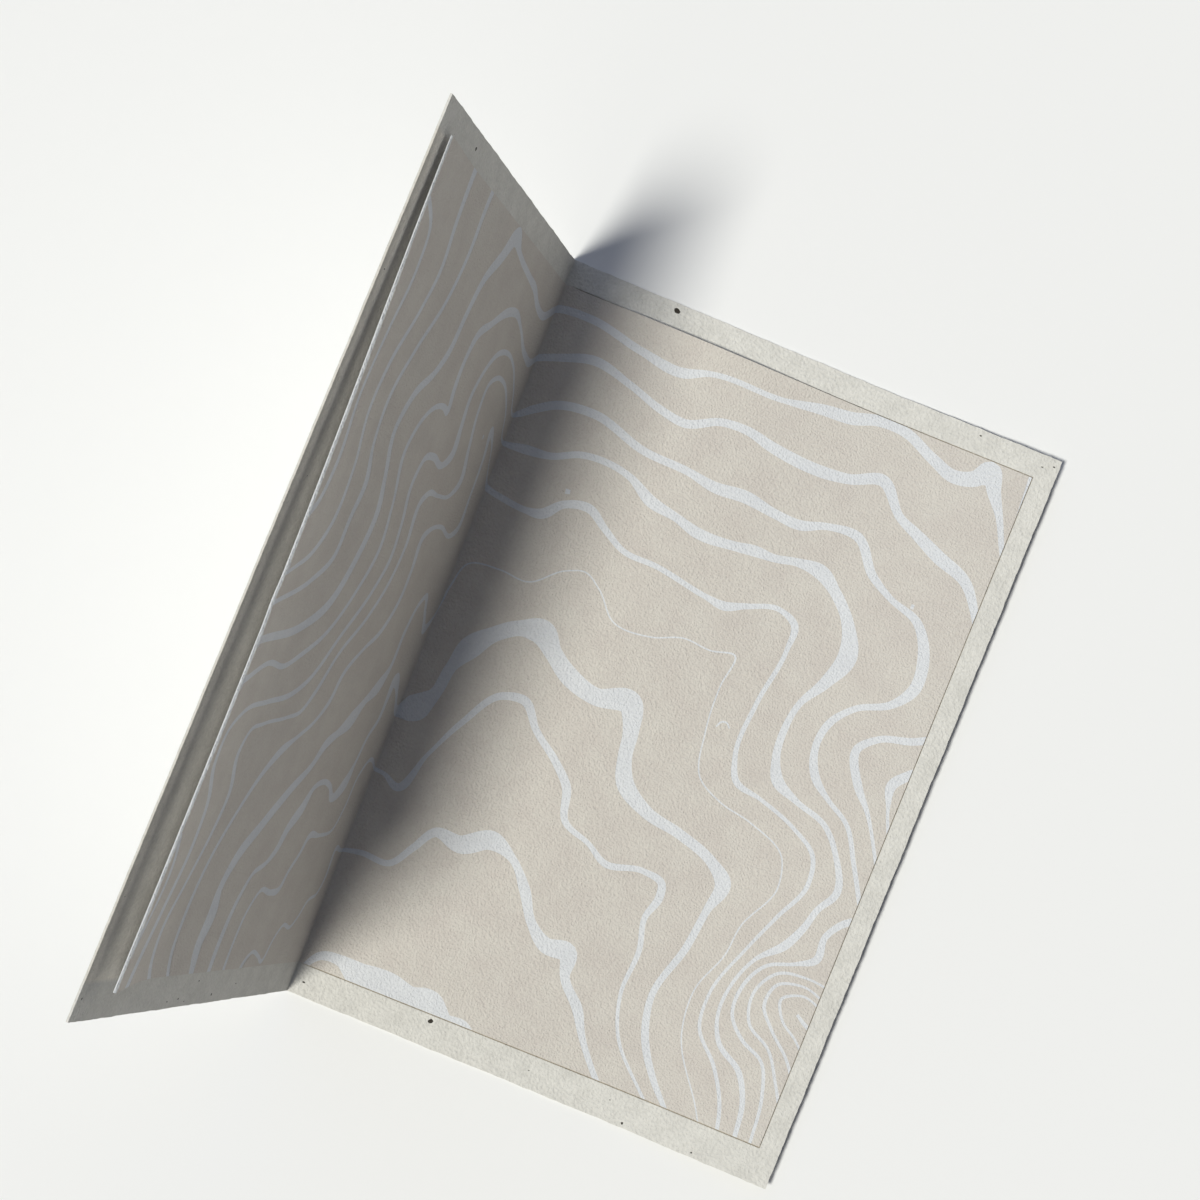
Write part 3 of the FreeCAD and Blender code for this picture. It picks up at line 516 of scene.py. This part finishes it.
def outer_card():
    """The folded board: a grid over both panels, with its cut edges a little ragged and a pressed
    line around the back page. Its attribute board_painted_light_and_shade is 1 on bare board. Where
    the front page lies over it, it is POCKET_PAINTED_LIGHT, painted light that stands in for light
    bounced into the pocket under the lifted page, falling to FREE_EDGE_TINT at the free edge. The
    pressed line multiplies it by LINE_PAINTED_SHADE, painted shade in the groove."""
    strip = -PANEL_WIDTH + BOARD_RIM_WIDTH
    line_end = PAGE_WIDTH + LINE_WIDTH
    s = spaced((-PANEL_WIDTH, strip, BOARD_RIM_SPACING), (strip, -CREASE_HALF, PANEL_SPACING),
               (-CREASE_HALF, CREASE_HALF, CREASE_SPACING), (CREASE_HALF, PAGE_WIDTH, PANEL_SPACING),
               (PAGE_WIDTH, line_end, LINE_SPACING), (line_end, PANEL_WIDTH, SIDE_MARGIN_SPACING))
    line_low, line_high = PAGE_LOW - LINE_WIDTH, PAGE_HIGH + LINE_WIDTH
    y = spaced((-HALF_LENGTH, line_low, END_MARGIN_SPACING), (line_low, PAGE_LOW, LINE_SPACING),
               (PAGE_LOW, PAGE_HIGH, LENGTH_SPACING), (PAGE_HIGH, line_high, LINE_SPACING),
               (line_high, HALF_LENGTH, END_MARGIN_SPACING))
    grid_s, grid_y = (a.ravel() for a in np.meshgrid(s, y))
    edge_s = ragged(PANEL_WIDTH - grid_s, grid_y, 1) - ragged(PANEL_WIDTH + grid_s, grid_y, 2)
    edge_y = ragged(HALF_LENGTH - grid_y, grid_s, 3) - ragged(HALF_LENGTH + grid_y, grid_s, 4)
    outside = page_distance(grid_s, grid_y)
    pressed = np.clip(np.minimum(outside, LINE_WIDTH - outside) / LINE_SLOPE, 0, 1)
    pressed = pressed * smooth((grid_s - LINE_START) / LINE_GROWTH)
    inner = fold_place(grid_s + edge_s, grid_y + edge_y, BOARD_THICKNESS - LINE_DEPTH * pressed)
    outer = fold_place(grid_s + edge_s, grid_y + edge_y, 0.0)
    sheet = closed_sheet("outer_card_board", inner, outer, grid_triangles(len(s), len(y)))
    # Painted light: under the outer half of the front page the board is made paler, standing in for light
    # bounced into the pocket below the lifted edge, and darker towards the free edge; the pressed line holds
    # painted shade
    to_edge = np.clip((PANEL_WIDTH + grid_s) / FREE_EDGE_WIDTH, 0, 1)
    behind_page = (grid_s < -PAGE_WIDTH / 2) & (grid_y > PAGE_LOW) & (grid_y < PAGE_HIGH)
    edge_tint, pocket_light, line = np.array([FREE_EDGE_TINT, POCKET_PAINTED_LIGHT, LINE_PAINTED_SHADE])
    shade = edge_tint + (pocket_light - edge_tint) * smooth(to_edge)[:, None]
    tint = np.where(behind_page[:, None], shade, 1) * (1 + (line - 1) * pressed[:, None])
    values = sheet.data.attributes.new("board_painted_light_and_shade", "FLOAT_VECTOR", "POINT")
    values.data.foreach_set("vector", np.concatenate([tint, 0 * tint + 1]).astype(np.float32).ravel())
    return sheet


def page_grid(spacing):
    """The liner's points as s and y, closer in the crease, at the rolled rim and beside its dent, and
    their triangles."""
    rim = -PAGE_WIDTH + RIM_ROLL_WIDTH
    beside_rim = rim + RIM_SIDE_WIDTH
    s = spaced((-PAGE_WIDTH, rim, PAGE_RIM_SPACING), (rim, beside_rim, RIM_SIDE_SPACING),
               (beside_rim, -CREASE_HALF, spacing), (-CREASE_HALF, CREASE_HALF, CREASE_SPACING),
               (CREASE_HALF, PAGE_WIDTH, spacing))
    dent_low, dent_high = RIM_DENT_PLACE - DENT_REACH, RIM_DENT_PLACE + DENT_REACH
    y = spaced((PAGE_LOW, dent_low, spacing), (dent_low, dent_high, DENT_SPACING),
               (dent_high, PAGE_HIGH, spacing))
    grid_s, grid_y = (a.ravel() for a in np.meshgrid(s, y))
    return grid_s, grid_y, grid_triangles(len(s), len(y))


def liner_sheet():
    """The folded liner, laid on the board and standing off it where it has come away."""
    s, y, triangles = page_grid(LINER_SPACING)
    gap = liner_gap(s, y)
    top = fold_place(s, y, PAGE_HEIGHT + gap)
    bottom = fold_place(s, y, BOARD_THICKNESS + gap)
    return closed_sheet("liner_paper_sheet", top, bottom, triangles)


def contour_print():
    """The printed fields: the page's points and the lines' outlines joined by one Delaunay
    triangulation that keeps every outline as edges, with the triangles inside a line, on the
    unprinted rim and on the unprinted corner left out."""
    s, y, _ = page_grid(PRINT_SPACING)
    rim = BARE_RIM - PAGE_WIDTH
    border = np.array([(rim, PAGE_LOW), (PAGE_WIDTH, PAGE_LOW), (PAGE_WIDTH, PAGE_HIGH - BARE_CORNER_DROP),
                       (PAGE_WIDTH - BARE_CORNER, PAGE_HIGH), (rim, PAGE_HIGH)])
    outlines = [seen_place(band_outline(points) - (0, HALF_LENGTH)) for points in CONTOUR_LINES]
    points, edges = [np.stack([s, y], axis=1)], []
    count = len(s)
    for outline in [border] + outlines:
        number = count + np.arange(len(outline))
        edges.append(np.stack([number, np.roll(number, -1)], axis=1))
        points.append(outline)
        count += len(outline)
    points, edges = np.concatenate(points), np.concatenate(edges)
    corners = [Vector(point) for point in points.tolist()]
    whole_hull = 0
    found = delaunay_2d_cdt(corners, edges.tolist(), [], whole_hull, MERGE_DISTANCE)
    points = np.array([tuple(corner) for corner in found[0]])
    triangles = np.array(found[2])
    middle = points[triangles].mean(axis=1)
    printed = inside(border, middle)
    for outline in outlines:
        printed &= ~inside(outline, middle)
    gap = liner_gap(*points.T)
    top = fold_place(*points.T, PAGE_HEIGHT + gap + INK_THICKNESS)
    bottom = fold_place(*points.T, PAGE_HEIGHT + gap + INK_UNDERSIDE)
    return closed_sheet("contour_print_ink", top, bottom, triangles[printed])


def node(tree, kind, settings=None, **links):
    """A node with its settings, and its inputs set or linked, by name or as _ with their number."""
    made = tree.nodes.new(kind)
    for key, value in (settings or {}).items():
        setattr(made, key, value)
    for key, value in links.items():
        socket = made.inputs[int(key[1:]) if key[1:].isdigit() else key.replace("_", " ")]
        if isinstance(value, bpy.types.NodeSocket):
            tree.links.new(value, socket)
        else:
            socket.default_value = value
    return made


def paper_material(name, colour, darker, mottle_mm, grain_mm, relief_mm, roughness, speck=None, tint=None):
    """A matt fibrous sheet: two colours mixed by broad and fine mottling, with a felt-like relief.

    speck is the colour of small round specks, the width of the cells that hold one at most, the
    radius of a speck and the share of the cells without one. tint names an attribute of the mesh
    that multiplies the colour."""
    material = bpy.data.materials.new(name)
    material.use_nodes = True
    tree = material.node_tree
    shader = tree.nodes["Principled BSDF"]
    place = tree.nodes.new("ShaderNodeTexCoord").outputs["Object"]
    broad = node(tree, "ShaderNodeTexNoise", Vector=place, Scale=1 / (mottle_mm * MM), Detail=3.0)
    fine = node(tree, "ShaderNodeTexNoise", Vector=place, Scale=1 / (grain_mm * MM), Detail=2.0)
    both = node(tree, "ShaderNodeMath", {"operation": "ADD"}, _0=broad.outputs[0], _1=fine.outputs[0])
    spread = node(tree, "ShaderNodeMapRange", Value=both.outputs[0], From_Min=0.75, From_Max=1.25)
    # Inputs 6 and 7 of a mix of colours are the colours, and output 2 is their mix
    tone = node(tree, "ShaderNodeMix", {"data_type": "RGBA"}, Factor=spread.outputs[0],
                _6=linear(darker), _7=linear(colour))
    last = tone.outputs[2]
    if speck:
        speck_colour, cell_mm, radius_mm, empty_share = speck
        cells = node(tree, "ShaderNodeTexVoronoi", Vector=place, Scale=1 / (cell_mm * MM))
        near = node(tree, "ShaderNodeMath", {"operation": "LESS_THAN"}, _0=cells.outputs["Distance"],
                    _1=radius_mm / cell_mm)
        chance = node(tree, "ShaderNodeSeparateColor", Color=cells.outputs["Color"])
        rare = node(tree, "ShaderNodeMath", {"operation": "GREATER_THAN"}, _0=chance.outputs[0],
                    _1=empty_share)
        mark = node(tree, "ShaderNodeMath", {"operation": "MULTIPLY"}, _0=near.outputs[0],
                    _1=rare.outputs[0])
        last = node(tree, "ShaderNodeMix", {"data_type": "RGBA"}, Factor=mark.outputs[0], _6=last,
                    _7=linear(speck_colour)).outputs[2]
    if tint:
        amount = node(tree, "ShaderNodeAttribute", {"attribute_name": tint}).outputs["Vector"]
        last = node(tree, "ShaderNodeVectorMath", {"operation": "MULTIPLY"}, _0=last, _1=amount).outputs[0]
    tree.links.new(last, shader.inputs["Base Color"])
    felt = node(tree, "ShaderNodeTexNoise", Vector=place, Scale=1 / (grain_mm * MM), Detail=4.0)
    bump = node(tree, "ShaderNodeBump", Height=felt.outputs[0], Strength=1.0, Distance=relief_mm * MM)
    tree.links.new(bump.outputs[0], shader.inputs["Normal"])
    shader.inputs["Roughness"].default_value = roughness
    shader.inputs["Specular IOR Level"].default_value = 0.25
    return material


def flecks():
    """Dark flecks of bark and print pressed into the board's face: small many-sided flakes of
    uneven radius, scattered over its margins and outer faces."""
    count = FLECK_COUNT
    s = random.uniform(-PANEL_WIDTH + FLECK_EDGE, PANEL_WIDTH - FLECK_EDGE, count)
    y = random.uniform(-HALF_LENGTH + FLECK_EDGE, HALF_LENGTH - FLECK_EDGE, count)
    inner = random.uniform(0, 1, count) < FLECK_INNER_SHARE
    radius = random.gamma(FLECK_RADIUS_SHAPE, FLECK_RADIUS_SCALE, count) + FLECK_RADIUS_LEAST
    named = slice(len(NAMED_FLECKS))
    s[named], y[named], radius[named] = np.array(NAMED_FLECKS).T
    inner[named] = True
    on_margin = page_distance(s, y) > FLECK_PAGE_CLEARANCE
    keep = (~inner | on_margin) & (np.abs(s) > FLECK_FOLD_CLEARANCE)
    s, y, inner, radius = s[keep], y[keep], inner[keep], radius[keep]
    count = len(s)
    angle = 2 * math.pi * np.arange(FLECK_SIDES) / FLECK_SIDES + random.uniform(0, FLECK_TURN, (count, 1))
    stretch = random.uniform(*FLECK_STRETCH, (count, 1))
    reach = radius[:, None] * random.uniform(*FLECK_REACH, (count, FLECK_SIDES))
    rim_s = s[:, None] + reach * np.cos(angle)
    rim_y = y[:, None] + reach * stretch * np.sin(angle)
    ring_s = np.concatenate([s[:, None], rim_s], axis=1)
    ring_y = np.concatenate([y[:, None], rim_y], axis=1)
    face = np.where(inner, BOARD_THICKNESS + FLECK_PROUD, -FLECK_PROUD)[:, None]
    underside = np.where(inner, BOARD_THICKNESS - FLECK_SUNK, FLECK_SUNK)[:, None]
    top = fold_place(ring_s.ravel(), ring_y.ravel(), (face + 0 * ring_s).ravel())
    bottom = fold_place(ring_s.ravel(), ring_y.ravel(), (underside + 0 * ring_s).ravel())
    k = np.arange(FLECK_SIDES)
    fan = np.stack([0 * k, k + 1, (k + 1) % FLECK_SIDES + 1], axis=1)
    triangles = np.arange(count)[:, None, None] * (FLECK_SIDES + 1) + fan
    triangles[~inner] = triangles[~inner][:, :, ::-1]
    return closed_sheet("board_flecks", top, bottom, triangles.reshape(-1, 3))


def place_camera():
    """The camera, looking down on the open card, turned so that the fold leans in the picture."""
    place, aim = Vector(CAMERA_PLACE) * MM, Vector(CAMERA_AIM) * MM
    lean = math.radians(CAMERA_ROLL)
    backwards = (place - aim).normalized()
    upright = Vector((-math.sin(lean), math.cos(lean), 0))
    upright = (upright - backwards * upright.dot(backwards)).normalized()
    sideways = upright.cross(backwards)
    turn = Matrix((sideways, upright, backwards)).transposed().to_4x4()
    data = bpy.data.cameras.new("camera")
    data.lens, data.sensor_width, data.sensor_height = CAMERA_LENS, SENSOR, SENSOR
    camera = bpy.data.objects.new("camera", data)
    camera.matrix_world = Matrix.Translation(place) @ turn
    bpy.context.scene.collection.objects.link(camera)
    bpy.context.scene.camera = camera


def place_light():
    """A soft sun from the front left, and a pale sky, bluer on one side, that the camera sees as
    white."""
    data = bpy.data.lights.new("sun", "SUN")
    data.energy, data.angle = SUN_STRENGTH, math.radians(SUN_SPREAD)
    data.color = linear(SUN_COLOUR)[:3]
    sun = bpy.data.objects.new("sun", data)
    travel = Vector((SUN_SLOPE[0], SUN_SLOPE[1], -1))
    sun.rotation_euler = travel.to_track_quat("-Z", "Y").to_euler()
    bpy.context.scene.collection.objects.link(sun)
    world = bpy.data.worlds.new("studio")
    world.use_nodes = True
    tree = world.node_tree
    tree.nodes.clear()
    seen = tree.nodes.new("ShaderNodeLightPath").outputs["Is Camera Ray"]
    sky = node(tree, "ShaderNodeBackground", Color=linear(SKY_COLOUR), Strength=SKY_STRENGTH)
    ray = tree.nodes.new("ShaderNodeTexCoord").outputs["Generated"]
    turned = node(tree, "ShaderNodeVectorMath", {"operation": "DOT_PRODUCT"}, _0=ray,
                  _1=Vector(SKY_SIDE).normalized())
    near = node(tree, "ShaderNodeMapRange", {"interpolation_type": "SMOOTHSTEP"},
                Value=turned.outputs["Value"], From_Min=SKY_SIDE_EDGE, From_Max=SKY_SIDE_FULL,
                To_Max=SKY_SIDE_STRENGTH)
    side = node(tree, "ShaderNodeBackground", Color=linear(SKY_SIDE_COLOUR), Strength=near.outputs[0])
    both = node(tree, "ShaderNodeAddShader", _0=sky.outputs[0], _1=side.outputs[0])
    white = node(tree, "ShaderNodeBackground", Color=linear("#FFFFFF"), Strength=1.0)
    mixed = node(tree, "ShaderNodeMixShader", _0=seen, _1=both.outputs[0], _2=white.outputs[0])
    node(tree, "ShaderNodeOutputWorld", Surface=mixed.outputs[0])
    bpy.context.scene.world = world


def lay_floor():
    """A plain pale floor under the card."""
    half = FLOOR_SIZE / 2 * MM
    drop = -FLOOR_DROP * MM
    corners = np.array([(-half, -half, drop), (half, -half, drop), (half, half, drop), (-half, half, drop)])
    floor = piece_from("floor", corners, np.array([(0, 1, 2), (0, 2, 3)]))
    material = bpy.data.materials.new("white_painted_table")
    material.use_nodes = True
    shader = material.node_tree.nodes["Principled BSDF"]
    shader.inputs["Base Color"].default_value = linear(FLOOR_COLOUR)
    shader.inputs["Roughness"].default_value = 0.7
    shader.inputs["Specular IOR Level"].default_value = 0.1
    floor.data.materials.append(material)


# Recycled board: pressed from grey pulp and left uncoated, so it is matt, mottled and faintly warm; its tint
# attribute adds painted light and shade
recycled_board = paper_material("recycled_pulp_board", "#E2E0DA", "#D4D2CC", mottle_mm=5.0, grain_mm=0.7,
                                relief_mm=0.42, roughness=0.95, speck=("#8A8880", 3.5, 0.16, 0.90),
                                tint="board_painted_light_and_shade")
# Text paper: bleached and uncoated, with a felt finish, so it is matt and slightly blue
liner_paper = paper_material("uncoated_text_paper", "#E4E6E9", "#DCDEE2", mottle_mm=8.0, grain_mm=0.5,
                             relief_mm=0.45, roughness=0.9)
# Ink: one warm flat colour soaked into the paper, which keeps the paper's grain
printed_ink = paper_material("flat_printed_ink", "#DAD5CD", "#D2CBC4", mottle_mm=8.0, grain_mm=0.5,
                             relief_mm=0.45, roughness=0.9)
# Flecks: bits of bark and old print in the pulp, dark and dull
fleck = paper_material("pulp_fleck", "#45413B", "#35312C", mottle_mm=1.0, grain_mm=0.5,
                       relief_mm=0.02, roughness=0.95)

PIECES = (
    (outer_card(), recycled_board, "recycled_board", ("outer_card",)),
    (liner_sheet(), liner_paper, "liner_paper", ("liner_sheet",)),
    (contour_print(), printed_ink, "printed_ink", ("contour_print",)),
    (flecks(), fleck, "recycled_board", ()),
)
for piece, material, slot, nodes in PIECES:
    piece.data.materials.append(material)
    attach(piece, "root")
    if nodes:
        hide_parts(*nodes)

place_camera()
place_light()
lay_floor()
bpy.context.scene.view_settings.view_transform = "Standard"
